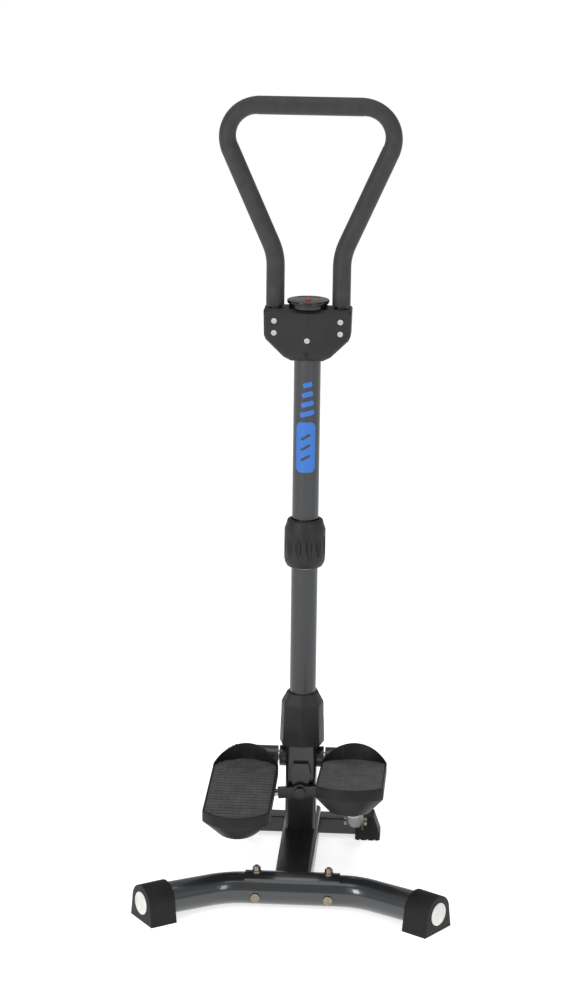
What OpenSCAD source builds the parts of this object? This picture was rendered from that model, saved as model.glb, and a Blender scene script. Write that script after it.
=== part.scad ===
// Mini stepper with a handlebar: two hydraulic pedals on a floor frame, joined by a rocker,
// and a telescopic column that carries a foam covered handlebar and a small counter.
// Millimetres, +Z up. The user stands on the -Y side and faces +Y.

/* [Overall] */
// Height of the handlebar's top, with its foam
overall_h = 1253; // [1190:1:1330]
// Width over the rear base tube's end caps
base_w = 496; // [440:1:580]
// Depth from the rear base tube's centre to the column's centre
base_reach = 210; // [195:1:250]

/* [Floor frame] */
// Diameter of the rear base tube
base_tube_d = 50; // [44:0.5:56]
// Angle by which each end of the rear base tube is bent back
base_bend = 30; // [20:1:36]
// Width of the spine tube
spine_w = 58; // [50:1:64]
// Height of the spine tube
spine_h = 38; // [32:1:44]
// Wall of the steel tubes
steel_wall = 2; // [1.5:0.1:3]
// Width of the front cross tube
cross_w = 244; // [210:1:290]
// Side of the square front cross tube
cross_s = 30; // [26:1:34]
// Width and depth of the square post
post_s = 50; // [46:1:56]

/* [Column] */
// Diameter of the two column tubes
column_d = 42.4; // [38:0.1:46]
// Height of the joint between the column tubes
joint_z = 583; // [540:1:640]
// Travel of the height adjustment
column_travel = 100; // [60:1:120]
// Outer diameter of the twist collar
collar_d = 66; // [62:0.5:76]

/* [Handlebar] */
// Width between the centres of the handlebar's top corners
bar_w = 258; // [230:1:310]
// Spacing of the handlebar's two feet
bar_foot = 104; // [94:1:116]
// Diameter of the handlebar tube
bar_d = 22; // [19:0.5:25]
// Diameter of the foam grip
foam_d = 29; // [27:0.5:34]
// Angle by which the handlebar opens upwards
bar_splay = 24; // [16:0.5:28]

/* [Pedals] */
// Width of a pedal
pedal_w = 106; // [98:1:120]
// Length of a pedal's tread
pedal_l = 246; // [220:1:290]
// Distance between the two pedals' centres
pedal_gap = 176; // [170:1:200]
// Height of the pivot axle
axle_z = 176; // [168:1:190]
// Diameter of the pivot axle
axle_d = 16; // [14:0.5:18]
// Heel lift of the left pedal at rest, in degrees
lift_left = -2; // [-3:0.5:9]
// Heel lift of the right pedal at rest, in degrees
lift_right = 9; // [-3:0.5:9]

/* [Dampers] */
// Diameter of the hydraulic cylinder
damper_d = 28; // [24:0.5:30]
// Diameter of the damper rod
rod_d = 10; // [8:0.5:12]

/* [Clearances] */
// Radial clearance of a running fit
run_gap = 0.05; // [0.02:0.01:0.1]
// Clearance of loose sliding parts
loose_gap = 0.3; // [0.2:0.05:0.5]

/* [Hidden] */
$fn = 64;

steel = [0.11, 0.11, 0.12];
graphite = [0.22, 0.23, 0.25];
plastic = [0.22, 0.22, 0.23];
tread_grey = [0.42, 0.41, 0.41];
rubber_black = [0.13, 0.12, 0.12];
zinc = [0.78, 0.74, 0.6];
bright = [0.75, 0.76, 0.78];

// Places that several parts share
base_tube_z = 30;
spine_top = 57;
spine_base = spine_top - spine_h;
cross_base = 6;
cross_reach = 100;
cap_l = 60;
cap_d = base_tube_d + 8;
cap_end = 5;
bend_r = 110;
tube_straight = 74;
// The row's origin lies under the middle of the footprint
rear_extent = base_reach + bent_depth() + cap_d / 2 * cos(base_bend);
foot_depth = 46;
front_extent = cross_reach + foot_depth / 2;
column_y = (rear_extent - front_extent) / 2;
base_y = column_y - base_reach;
cross_y = column_y + cross_reach;

// The rear tube's bent part: its run after the bend and how far back it comes
function bent_run() = (base_w / 2 - tube_straight - bend_r * sin(base_bend)
  - cap_end * cos(base_bend) - cap_d / 2 * sin(base_bend)) / cos(base_bend);
function bent_depth() = bend_r * (1 - cos(base_bend)) + (bent_run() + cap_end) * sin(base_bend);

// Shapes that repeat

// A bar along +Z
module bar(d, l) {
  cylinder(d = d, h = l);
}

// A bend of angle a that starts at the origin along +Z and turns towards +X. It is drawn a hair
// thicker than its bar, as a pressed bend is, and the bars run a little way into it.
bend_swell = 0.1;
bend_lap = 1.5;
module bend(d, r, a) {
  translate([r, 0, 0])
    rotate([90, 0, 0])
      rotate([0, 0, 180 - a])
        rotate_extrude(angle = a)
          translate([r, 0])
            circle(d = d + bend_swell);
}

// A straight run of length l between two bends, or from a free end where start is 0
module run(d, l, start = bend_lap, end = bend_lap) {
  translate([0, 0, -start])
    cylinder(d = d, h = l + start + end);
}

// Moves what follows to the end of such a bend
module after_bend(r, a) {
  translate([r * (1 - cos(a)), 0, r * sin(a)])
    rotate([0, a, 0])
      children();
}

// A bar of length l along X, centred
module x_bar(d, l) {
  rotate([0, 90, 0])
    cylinder(d = d, h = l, center = true);
}

// A bar along +Y from the origin
module y_bar(d, l) {
  rotate([-90, 0, 0])
    cylinder(d = d, h = l);
}

// A box with rounded vertical edges, centred in X and Y
module round_box(w, l, h, r) {
  linear_extrude(h)
    round_rect(w, l, r);
}

module round_rect(w, l, r) {
  square([w - 2 * r, l], center = true);
  square([w, l - 2 * r], center = true);
  for (x = [-1, 1], y = [-1, 1])
    translate([x * (w / 2 - r), y * (l / 2 - r)])
      circle(r = r, $fn = 24);
}

// Floor frame

// Turns +Z towards the side given and +X towards the user
module along_side(side) {
  rotate([-side * 90, 0, 0])
    rotate([0, side * 90, 0])
      children();
}

module base_tube_shape(d) {
  x_bar(d, 2 * (tube_straight + bend_lap));
  for (side = [-1, 1])
    along_side(side)
      translate([0, 0, tube_straight]) {
        bend(d, bend_r, base_bend);
        after_bend(bend_r, base_bend)
          run(d, bent_run(), end = 0);
      }
}

// Puts a part at the end of the rear tube, with +Z along the tube and out of its end
module at_tube_end(side) {
  translate([0, base_y, base_tube_z])
    at_end_of_base(side)
      children();
}

module at_end_of_base(side) {
  along_side(side)
    translate([0, 0, tube_straight])
      after_bend(bend_r, base_bend)
        translate([0, 0, bent_run()])
          children();
}

bolt_x = 57;
bolt_d = 8;
cross_bolt_z = 24;
stud_z = 40;

module rear_base_tube() {
  color(graphite)
    translate([0, base_y, base_tube_z])
      difference() {
        base_tube_shape(base_tube_d);
        base_tube_shape(base_tube_d - 2 * steel_wall);
        for (side = [-1, 1])
          at_end_of_base(side)
            run(base_tube_d - 2 * steel_wall, 5);
        for (x = [-bolt_x, bolt_x]) {
          translate([x, -base_tube_d, cross_bolt_z - base_tube_z])
            y_bar(bolt_d + 0.4, 2 * base_tube_d);
          translate([x, 0, base_tube_d / 4])
            bar(bolt_d + 0.4, base_tube_d / 2);
        }
      }
}

// The cap's own axis is the tube's, and its flat foot reaches the floor
module rear_cap(side) {
  color(rubber_black)
    difference() {
      at_tube_end(side)
        difference() {
          union() {
            translate([0, 0, -cap_l])
              bar(cap_d, cap_l + cap_end);
            translate([0, side * base_tube_z / 2, (cap_end - cap_l) / 2])
              cube([cap_d - 8, base_tube_z, cap_l + cap_end - 6], center = true);
          }
          translate([0, 0, -cap_l - 1])
            bar(base_tube_d + 0.2, cap_l + 1);
          translate([0, 0, cap_end - 1.5])
            bar(disc_d + 0.4, 5);
        }
      translate([-base_w, base_y - base_w, -50])
        cube([2 * base_w, 2 * base_w, 50]);
    }
}

disc_d = 34;
module cap_discs() {
  color([0.9, 0.9, 0.88])
    for (side = [-1, 1])
      at_tube_end(side)
        translate([0, 0, cap_end - 1.5])
          bar(disc_d, 3);
}

plate_t = 3;
plate_w = 150;
module saddle_plate() {
  color(steel)
    difference() {
      translate([0, base_y, base_tube_z])
        intersection() {
          translate([0, 0, base_tube_d / 2])
            cube([plate_w, 34, base_tube_d], center = true);
          difference() {
            x_bar(base_tube_d + 2 * plate_t, plate_w);
            x_bar(base_tube_d, plate_w + 2);
          }
        }
      for (x = [-bolt_x, bolt_x])
        translate([x, base_y, base_tube_z])
          bar(bolt_d + 0.4, base_tube_d);
    }
}

plate_top = base_tube_z + base_tube_d / 2 + plate_t;
module carriage_bolts() {
  color(zinc)
    for (x = [-bolt_x, bolt_x]) {
      translate([x, base_y, 0]) {
        // The cross bolt's flat side is cut to the tube's round wall
        difference() {
          translate([0, -base_tube_d / 2 - 3, cross_bolt_z]) {
            y_bar(bolt_d, base_tube_d + 14);
            y_bar(14, 5);
          }
          translate([0, 0, base_tube_z])
            difference() {
              x_bar(base_tube_d, 30);
              x_bar(base_tube_d - 2 * steel_wall, 32);
              translate([0, -base_tube_d, cross_bolt_z - base_tube_z])
                y_bar(bolt_d + 0.4, 2 * base_tube_d);
            }
        }
        translate([0, 0, stud_z])
          bar(bolt_d, plate_top + 8 - stud_z);
      }
    }
}

module saddle_washers() {
  color(zinc)
    for (x = [-bolt_x, bolt_x])
      translate([x, base_y, 0])
        difference() {
          translate([0, 0, plate_top - 1])
            bar(15, 3);
          bar(bolt_d + 0.4, 100);
          translate([0, 0, base_tube_z])
            x_bar(base_tube_d + 2 * plate_t, 40);
        }
}

module dome_nuts() {
  color(zinc)
    for (x = [-bolt_x, bolt_x]) {
      translate([x, base_y, plate_top + 2])
        difference() {
          union() {
            cylinder(d = 13, h = 6, $fn = 6);
            intersection() {
              translate([0, 0, 4])
                sphere(d = 11);
              translate([0, 0, 5])
                bar(14, 12);
            }
          }
          translate([0, 0, -1])
            bar(bolt_d, 7.5);
        }
      translate([x, base_y + base_tube_d / 2 + 2, cross_bolt_z])
        difference() {
          rotate([-90, 0, 0])
            cylinder(d = 15, h = 7, $fn = 6);
          translate([0, -1, 0])
            y_bar(bolt_d, 20);
        }
    }
}

spine_back = base_y + 8;
spine_front = cross_y - cross_s / 2;
module spine_tube() {
  color(steel)
    difference() {
      translate([0, (spine_back + spine_front) / 2, spine_base])
        difference() {
          rotate([90, 0, 0])
            translate([0, spine_h / 2, 0])
              linear_extrude(spine_front - spine_back, center = true)
                difference() {
                  round_rect(spine_w, spine_h, 6);
                  round_rect(spine_w - 2 * steel_wall, spine_h - 2 * steel_wall, 4);
                }
        }
      translate([0, base_y, base_tube_z])
        x_bar(base_tube_d + 2 * plate_t, spine_w + 2);
    }
}

post_top = 258;
sleeve_base = 203;
sleeve_top = 289;
housing_d = 34;
module post_tube() {
  color(steel)
    difference() {
      translate([0, column_y, spine_top])
        difference() {
          round_box(post_s, post_s, post_top - spine_top, 6);
          translate([0, 0, -1])
            round_box(post_s - 2 * steel_wall, post_s - 2 * steel_wall, post_top, 4);
        }
      translate([0, column_y, axle_z])
        x_bar(housing_d, post_s + 20);
      translate([0, column_y - post_s, rocker_z])
        y_bar(rocker_bolt_d + 0.4, post_s);
      translate([0, column_y, tube_screw_z])
        y_bar(6.4, post_s);
    }
}

housing_w = 72;
module axle_housing() {
  color(steel)
    translate([0, column_y, axle_z])
      difference() {
        x_bar(housing_d, housing_w);
        x_bar(axle_d + 2 * run_gap, housing_w + 2);
      }
}

// Rocker: a beam on the post's rear face that tips as one pedal goes down
rocker_z = 128;
rocker_bolt_d = 10;
rocker_arm = 41.5;
rocker_t = 8;
// The rocker beam stands off the post on its bracket's boss
boss_l = 8;
rocker_y = column_y - post_s / 2 - boss_l;
rocker_reach = column_y - rocker_y + rocker_t / 2;
rocker_tilt = atan(rocker_reach * (sin(lift_right) - sin(lift_left)) / 2 / rocker_arm);

module rocker_bracket() {
  color(steel)
    translate([0, column_y - post_s / 2, rocker_z])
      difference() {
        union() {
          rotate([90, 0, 0])
            bar(24, boss_l - loose_gap);
          translate([0, -4, 34])
            rotate([90, 0, 0])
              linear_extrude(8, center = true)
                polygon([[-12, -25], [12, -25], [17, -6], [12, 12], [-12, 12], [-17, -6]]);
        }
        translate([0, -30, 0])
          y_bar(rocker_bolt_d + 2 * run_gap, 40);
        translate([0, post_s / 2, axle_z - rocker_z])
          x_bar(housing_d, 60);
      }
}

module rocker_bolt() {
  color(bright)
    translate([0, 0, rocker_z]) {
      translate([0, rocker_y - rocker_t - loose_gap - 7, 0]) {
        rotate([-90, 0, 0])
          cylinder(d = 19, h = 7, $fn = 6);
        y_bar(rocker_bolt_d, 7 + rocker_t + boss_l + loose_gap + 14);
      }
    }
}

module rocker_beam() {
  color(steel)
    translate([0, rocker_y - rocker_t - loose_gap / 2, rocker_z])
      rotate([0, -rocker_tilt, 0])
        difference() {
          union() {
            translate([-rocker_arm + 5.5, 0, -9])
              cube([2 * rocker_arm - 11, rocker_t, 18]);
            y_bar(26, rocker_t);
          }
          translate([0, -1, 0])
            y_bar(rocker_bolt_d + 2 * run_gap, rocker_t + 2);
          for (side = [-1, 1])
            translate([side * rocker_arm, rocker_t / 2, 0])
              x_bar(6, 42);
        }
}

// Each end of the beam carries a bright screw and its roller
roller_d = 12;
roller_l = 11;
module rocker_rollers() {
  color(bright)
    translate([0, rocker_y - rocker_t - loose_gap / 2, rocker_z])
      rotate([0, -rocker_tilt, 0])
        for (side = [-1, 1])
          translate([side * (rocker_arm - 5.5), rocker_t / 2, 0])
            rotate([0, side * 90, 0]) {
              translate([0, 0, -12])
                bar(6, 13);
              bar(roller_d, roller_l);
            }
}

module front_cross_tube() {
  color(steel)
    translate([0, cross_y, cross_base + cross_s / 2])
      rotate([0, 90, 0])
        linear_extrude(cross_w - 8, center = true)
          difference() {
            round_rect(cross_s, cross_s, 4);
            round_rect(cross_s - 2 * steel_wall, cross_s - 2 * steel_wall, 2.5);
          }
}

foot_w = 42;
foot_h = 41;
module front_foot(side) {
  color(rubber_black)
    difference() {
      translate([side * (cross_w / 2 + 7 - foot_w / 2), cross_y, 0])
        difference() {
          hull() {
            round_box(foot_w, foot_depth, 9, 6);
            translate([-side * 5, 0, 0])
              round_box(foot_w - 12, foot_depth - 8, foot_h, 5);
          }
          for (x = [-12, 0, 12])
            translate([x, 0, 0])
              cube([3, foot_depth + 2, 3], center = true);
        }
      translate([side * (cross_w / 2 - 4 - foot_w), cross_y, cross_base + cross_s / 2])
        cube([2 * foot_w, cross_s + 0.1, cross_s + 0.1], center = true);
      // The damper bracket's outer plate passes the foot in a notch
      translate([side * (pedal_gap / 2 + 12) - 2.3, cross_y - foot_depth, foot_pin_z - 12.3])
        cube([4.6, foot_depth - cross_s / 2, 30]);
    }
}

pivot_end = pedal_gap / 2 + 24;
axle_l = 2 * pivot_end + 12;
module pivot_axle() {
  color(bright)
    translate([0, column_y, axle_z])
      x_bar(axle_d, axle_l);
}

module axle_nuts() {
  color(zinc)
    translate([0, column_y, axle_z])
      for (side = [-1, 1])
        translate([side * (pivot_end + loose_gap), 0, 0])
          rotate([0, side * 90, 0])
            difference() {
              union() {
                bar(28, 2);
                translate([0, 0, 2])
                  cylinder(d = 24, h = 8, $fn = 6);
              }
              translate([0, 0, -1])
                bar(axle_d, 20);
            }
}

// Post sleeve and column

sleeve_w = 71;
sleeve_d = 66;
tube_base = 216;
tube_screw_z = 232;
module sleeve_outline(w, d) {
  c = 15;
  polygon([
    [-w / 2 + c, -d / 2 + 3], [0, -d / 2 - 1], [w / 2 - c, -d / 2 + 3], [w / 2, -d / 2 + c + 3],
    [w / 2, d / 2 - c - 3], [w / 2 - c, d / 2 - 3], [0, d / 2 + 1], [-w / 2 + c, d / 2 - 3],
    [-w / 2, d / 2 - c - 3], [-w / 2, -d / 2 + c + 3]
  ]);
}

module post_sleeve() {
  color(plastic)
    translate([0, column_y, 0])
      difference() {
        hull() {
          translate([0, 0, sleeve_base])
            linear_extrude(2)
              sleeve_outline(sleeve_w + 2.5, sleeve_d + 2.5);
          translate([0, 0, sleeve_top - 24])
            linear_extrude(1)
              sleeve_outline(sleeve_w - 2, sleeve_d - 2);
          translate([0, 0, sleeve_top - 1])
            linear_extrude(1)
              sleeve_outline(sleeve_w - 16, sleeve_d - 12);
        }
        translate([0, 0, sleeve_base - 1])
          round_box(post_s + 0.2, post_s + 0.2, post_top - sleeve_base + 1.1, 6);
        translate([0, 0, sleeve_base])
          bar(column_d, sleeve_top);
        translate([0, 0, tube_screw_z])
          y_bar(6.4, sleeve_d);
      }
}

module post_screws() {
  color(zinc)
    translate([0, column_y, tube_screw_z]) {
      translate([0, column_d / 2 - 4, 0])
        y_bar(6, sleeve_d / 2 - column_d / 2 + 6);
      translate([0, sleeve_d / 2 + 1.5, 0])
        y_bar(12, 4);
    }
}

lower_top = joint_z - 26;
module lower_tube() {
  color(graphite)
    translate([0, column_y, 0])
      difference() {
        translate([0, 0, tube_base])
          bar(column_d, lower_top - tube_base);
        translate([0, 0, tube_base - 1])
          bar(column_d - 2 * steel_wall, lower_top);
        translate([0, 0, tube_screw_z])
          y_bar(6.4, column_d);
      }
}

inner_d = column_d - 2 * steel_wall - 3;
inner_run = inner_d + 0.16;
// The inner tube stays this deep in the lower tube when the column is fully raised
inner_engaged = 150;
inner_base = joint_z - column_travel - inner_engaged;
// and it is pressed this far into the upper tube
inner_plug = 120;
bush_l = 60;
module guide_bush() {
  color([0.85, 0.85, 0.82])
    translate([0, column_y, 0])
      difference() {
        union() {
          translate([0, 0, lower_top - bush_l])
            bar(column_d - 2 * steel_wall, bush_l + 0.01);
          translate([0, 0, lower_top])
            bar(column_d + 4, 10);
        }
        translate([0, 0, lower_top - bush_l - 1])
          bar(inner_run, bush_l + 20);
      }
}

collar_base = joint_z - 80;
collar_top = joint_z - 2;
flutes = 20;
module twist_collar() {
  color(rubber_black)
    translate([0, column_y, 0])
      difference() {
        union() {
          translate([0, 0, collar_base])
            rotate_extrude()
              polygon([
                [column_d / 2 + loose_gap, 0], [collar_d / 2 - 4.5, 0], [collar_d / 2 - 3, 4],
                [collar_d / 2, 9], [collar_d / 2, 66], [collar_d / 2 - 3.5, 73],
                [collar_d / 2 - 8, 73.5], [collar_d / 2 - 8.5, collar_top - collar_base],
                [column_d / 2 + loose_gap, collar_top - collar_base]
              ]);
        }
        // The hidden nut chamber round the bush's flange
        translate([0, 0, lower_top - 4])
          bar(column_d + 5, 18);
        for (i = [0:flutes - 1])
          rotate([0, 0, i * 360 / flutes])
            translate([collar_d / 2 + 1.4, 0, collar_base + 14])
              bar(6, 48);
      }
}

bracket_top = 924;
bracket_base = 842;
upper_top = bracket_top - 8;
module inner_tube() {
  color(bright)
    translate([0, column_y, inner_base])
      difference() {
        bar(inner_d, joint_z + inner_plug - inner_base);
        translate([0, 0, -1])
          bar(inner_d - 3, joint_z + inner_plug + 20 - inner_base);
      }
}

module upper_tube() {
  color(graphite)
    translate([0, column_y, 0])
      difference() {
        translate([0, 0, joint_z])
          bar(column_d, upper_top - joint_z);
        translate([0, 0, joint_z - 1])
          bar(inner_d, inner_plug + 1);
        translate([0, 0, joint_z + inner_plug - 1])
          bar(column_d - 2 * steel_wall, upper_top);
      }
}

label_base = 661;
label_h = 82;
module tube_label() {
  color([0.12, 0.55, 0.9])
    translate([0, column_y, label_base])
      intersection() {
        difference() {
          bar(column_d + 0.5, label_h);
          translate([0, 0, -1])
            bar(column_d, label_h + 2);
        }
        translate([-16.5, -column_d, 0])
          cube([33, column_d, label_h]);
      }
}

// Handlebar bracket, in two half shells that clamp the column and the bar's feet

bracket_w = 138;
bracket_d = 56;
shell_t = 3;
foot_z = bracket_base + 42;
module bracket_outline(inset) {
  w = bracket_w / 2 - inset;
  h = bracket_top - bracket_base;
  polygon([
    [-w + 2, h - inset], [w - 2, h - inset], [w, h - inset - 3], [w - 1, 40], [w - 4, 33],
    [w - 32, 6 + inset], [w - 44, inset], [-w + 44, inset], [-w + 32, 6 + inset], [-w + 4, 33],
    [-w + 1, 40], [-w, h - inset - 3]
  ]);
}

module bracket_shell() {
  translate([0, column_y, bracket_base])
    difference() {
      hull() {
        rotate([90, 0, 0])
          linear_extrude(0.5, center = true)
            bracket_outline(0);
        translate([0, 8 - bracket_d / 2, 0])
          rotate([90, 0, 0])
            linear_extrude(0.5, center = true)
              bracket_outline(0);
        translate([0, 3 - bracket_d / 2, 0])
          rotate([90, 0, 0])
            linear_extrude(0.5, center = true)
              bracket_outline(4);
        translate([-1, -bracket_d / 2, 8])
          cube([2, 1, bracket_top - bracket_base - 14]);
      }
      // Each shell keeps its own side of the parting plane
      translate([-bracket_w, 0, -10])
        cube([2 * bracket_w, 20, 120]);
      // Hollows between the clamping ribs
      for (x = [-1, 1])
        translate([x * 36 - 10, -bracket_d / 2 + 8, 24])
          cube([20, bracket_d / 2 - 8, 44]);
      translate([0, 0, -1])
        bar(column_d, upper_top - bracket_base + 1);
      for (x = [-1, 1])
        translate([x * bar_foot / 2, 0, foot_z - bracket_base])
          bar(bar_d, 80);
    }
}

screw_x = 52;
screw_spots = [
  [-screw_x, 64], [-screw_x, 45], [screw_x, 64], [screw_x, 45], [0, 33]
];
plug_z = 13;
module bracket_front() {
  color(plastic)
    difference() {
      bracket_shell();
      translate([0, column_y - bracket_d / 2 - 2, bracket_base]) {
        for (p = screw_spots)
          translate([p[0], 0, p[1]])
            y_bar(9, 6.5);
        translate([0, 0, plug_z])
          y_bar(11, 7);
      }
    }
}

module bracket_rear() {
  color(plastic)
    translate([0, 2 * column_y, 0])
      rotate([0, 0, 180])
        bracket_shell();
}

module bracket_screws() {
  color(bright)
    translate([0, column_y, bracket_base])
      for (p = screw_spots)
        translate([p[0], -bracket_d / 2 + 1.5, p[1]])
          difference() {
            y_bar(8.6, 3);
            translate([0, -1, 0])
              rotate([-90, 0, 0])
                for (a = [0, 90])
                  rotate([0, 0, a])
                    translate([0, 0, 1])
                      cube([5, 1.2, 3], center = true);
          }
}

module bracket_plug() {
  color(rubber_black)
    translate([0, column_y - bracket_d / 2 + 1, bracket_base + plug_z])
      difference() {
        y_bar(11, 4);
        translate([0, -1, 0])
          y_bar(6, 3);
      }
}

bar_r1 = 90;
bar_r2 = 48;
bar_top = overall_h - foam_d / 2;
bend2_x = bar_w / 2 - bar_r2 + bar_r2 * cos(bar_splay);
bend2_z = bar_top - bar_r2 - bar_r2 * sin(bar_splay);
splay_run = (bend2_x - bar_foot / 2 - bar_r1 * (1 - cos(bar_splay))) / sin(bar_splay);
bend1_z = bend2_z - splay_run * cos(bar_splay) - bar_r1 * sin(bar_splay);
module bar_half(d, start_z) {
  translate([bar_foot / 2, 0, start_z]) {
    run(d, bend1_z - start_z, start = 0);
    translate([0, 0, bend1_z - start_z]) {
      bend(d, bar_r1, bar_splay);
      after_bend(bar_r1, bar_splay) {
        run(d, splay_run);
        translate([0, 0, splay_run])
          rotate([0, 0, 180])
            bend(d, bar_r2, 90 + bar_splay);
      }
    }
  }
}

// The whole bar: two equal halves, turned about the column, and the straight top between them
module bar_sweep(d, start_z) {
  translate([0, column_y, 0]) {
    for (turn = [0, 180])
      rotate([0, 0, turn])
        bar_half(d, start_z);
    translate([0, 0, bar_top])
      x_bar(d, bar_w - 2 * bar_r2 + 2 * bend_lap);
  }
}

bar_wall = 1.5;
module handlebar_tube() {
  color(graphite)
    difference() {
      bar_sweep(bar_d, foot_z);
      bar_sweep(bar_d - 2 * bar_wall, foot_z - 1);
    }
}

foam_base = bracket_top + 4;
module foam_grip() {
  color([0.23, 0.22, 0.23])
    difference() {
      bar_sweep(foam_d, foam_base);
      bar_sweep(bar_d, foam_base - 1);
    }
}

// Counter

puck_d = 61;
rim_d = 67;
puck_base = bracket_top;
rim_z = puck_base + 7.5;
puck_top = rim_z + 5;
button_x = 0;
button_y = -6;
button_d = 9;
window_w = 34;
window_l = 18;
window_y = 14;
module console_body() {
  color([0.07, 0.07, 0.08])
    translate([0, column_y, 0])
      difference() {
        union() {
          translate([0, 0, puck_base])
            bar(puck_d, rim_z - puck_base);
          translate([0, 0, rim_z])
            bar(rim_d, puck_top - rim_z);
        }
        translate([0, 0, puck_base + 2])
          bar(puck_d - 5, rim_z - puck_base);
        translate([0, window_y, rim_z])
          translate([-window_w / 2, -window_l / 2, 0])
            cube([window_w, window_l, 10]);
        translate([button_x, button_y, rim_z])
          bar(button_d + 2 * loose_gap, 10);
      }
}

module console_window() {
  color([0.05, 0.06, 0.08])
    translate([-window_w / 2, column_y + window_y - window_l / 2, rim_z + 1.5])
      cube([window_w, window_l, puck_top - rim_z - 2]);
}

board_t = 1.6;
module console_board() {
  color([0.05, 0.3, 0.15])
    translate([0, column_y, puck_base + 5])
      bar(puck_d - 7, board_t);
}

module button_cell() {
  color(bright)
    translate([0, column_y, puck_base + 2])
      bar(20, 3);
}

button_travel = 1.5;
button_base = puck_base + 5 + board_t + button_travel + loose_gap;
module console_button() {
  color([0.8, 0.15, 0.18])
    translate([button_x, column_y + button_y, button_base])
      bar(button_d, puck_top + 1.8 - button_base);
}

// Pedals. Each is drawn level about its axle, with the heel towards -Y, then lifted to rest.

function lift(side) = side < 0 ? lift_left : lift_right;

module at_pedal(side) {
  translate([side * pedal_gap / 2, column_y, axle_z])
    rotate([-lift(side), 0, 0])
      children();
}

tread_z = 2;
toe_y = -22;
heel_y = toe_y - pedal_l;
skirt_h = 18;
tray_depth = 45;
heel_r = pedal_w / 2 + 12;
toe_wall_h = 27;
toe_arch_r = 67;
tray_wall = 3;
tread_t = 2.2;
deck_t = 3.3;
arm_w = 32;
arm_h = 24;
arm_top = tread_z - tread_t - deck_t;
arm_end = heel_y + 60;
// The damper's upper pin, from the axle
pin_y = -104;
pin_drop = 18;
pin_z = arm_top - arm_h - pin_drop;
pin_d = 8;

// The pedal's outline in plan: straight sides, a rounded heel and a flatter rounded toe
module pedal_outline(inset) {
  w = pedal_w - 2 * inset;
  intersection() {
    translate([-w / 2, heel_y + inset])
      square([w, pedal_l - 2 * inset]);
    union() {
      translate([0, heel_y + heel_r])
        circle(r = heel_r - inset);
      translate([-w / 2, heel_y + heel_r])
        square([w, pedal_l - heel_r - heel_r]);
      translate([0, toe_y - heel_r])
        circle(r = heel_r - inset);
    }
  }
}

module tray_body(inset) {
  hull() {
    translate([0, 0, tread_z - skirt_h + inset])
      linear_extrude(skirt_h - inset - (inset > 0 ? tread_t + deck_t : 0))
        pedal_outline(inset);
    translate([0, 0, tread_z - tray_depth + 2 * inset])
      linear_extrude(1)
        translate([0, (toe_y + heel_y) / 2 + 6])
          round_rect(58 - 2 * inset, pedal_l - 44 - 2 * inset, 20);
  }
}

module pedal_tray(side) {
  color(plastic)
    at_pedal(side)
      difference() {
        union() {
          tray_body(0);
          // The raised half-moon wall at the toe
          intersection() {
            translate([0, 0, tread_z - 3])
              linear_extrude(toe_wall_h + 4)
                difference() {
                  pedal_outline(0);
                  pedal_outline(tray_wall);
                }
            translate([0, toe_y - 38, tread_z + toe_wall_h - toe_arch_r])
              rotate([-90, 0, 0])
                cylinder(r = toe_arch_r, h = 60);
          }
        }
        tray_body(tray_wall);
        // Open above for the tread, and below for the arm and the damper
        translate([0, 0, tread_z - tread_t])
          linear_extrude(3)
            pedal_outline(tray_wall);
        translate([-arm_w / 2 - 1, arm_end - 1, -tray_depth - 5])
          cube([arm_w + 2, -arm_end + 30, tray_depth + arm_top + 5]);
        translate([-24, pin_y - 16, -tray_depth - 5])
          cube([48, 40, 30]);
        for (y = screw_rows)
          translate([0, y, -tray_depth])
            bar(5, tray_depth + tread_z);
      }
}

screw_rows = [toe_y - 40, arm_end + 20];
module pedal_tread(side) {
  color(tread_grey)
    at_pedal(side)
      translate([0, 0, tread_z - tread_t])
        linear_extrude(tread_t)
          pedal_outline(tray_wall + 0.1);
}

// The pivot sleeve runs from beside the post to just past the arm
sleeve_in = pedal_gap / 2 - housing_w / 2 - 2.5;
sleeve_out = 22;
bush_wall = 2.5;
lug_t = 6;
// The lug's pad stands on the rocker's roller when both pedals are at the same height
lug_z = rocker_z + roller_d / 2 + 1.3 - axle_z;
lift_mid = (lift_left + lift_right) / 2;

module along_sleeve(side, d) {
  translate([side * (sleeve_out - sleeve_in) / 2, 0, 0])
    x_bar(d, sleeve_in + sleeve_out);
}

module pedal_arm(side) {
  color(steel)
    at_pedal(side)
      difference() {
        union() {
          along_sleeve(side, housing_d - 2);
          translate([-arm_w / 2, arm_end, arm_top - arm_h])
            cube([arm_w, -arm_end - 4, arm_h]);
          // The lug that rides on the rocker's roller
          translate([-side * (sleeve_in - 1 - lug_t / 2), 0, 0])
            rotate([lift_mid, 0, 0])
              rotate([90, 0, 90])
                linear_extrude(lug_t, center = true)
                  polygon([
                    [8, 13], [-13, 8], [-rocker_reach - 10, lug_z + 8],
                    [-rocker_reach - 10, lug_z], [-rocker_reach + 10, lug_z], [14, -8]
                  ]);
          // The two ears that hold the damper's upper pin
          for (x = [-1, 1])
            translate([x * 14 - 2, pin_y - 10, pin_z - 8])
              cube([4, 20, pin_drop + 9]);
        }
        along_sleeve(side, axle_d + 2 * bush_wall + 0.001);
        translate([-arm_w / 2 + steel_wall, arm_end - 1, arm_top - arm_h + steel_wall])
          cube([arm_w - 2 * steel_wall, -arm_end - 40, arm_h - 2 * steel_wall]);
        translate([0, pin_y, pin_z])
          x_bar(pin_d, 60);
        for (y = screw_rows)
          translate([0, y, -50])
            bar(4, 60);
      }
}

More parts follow.
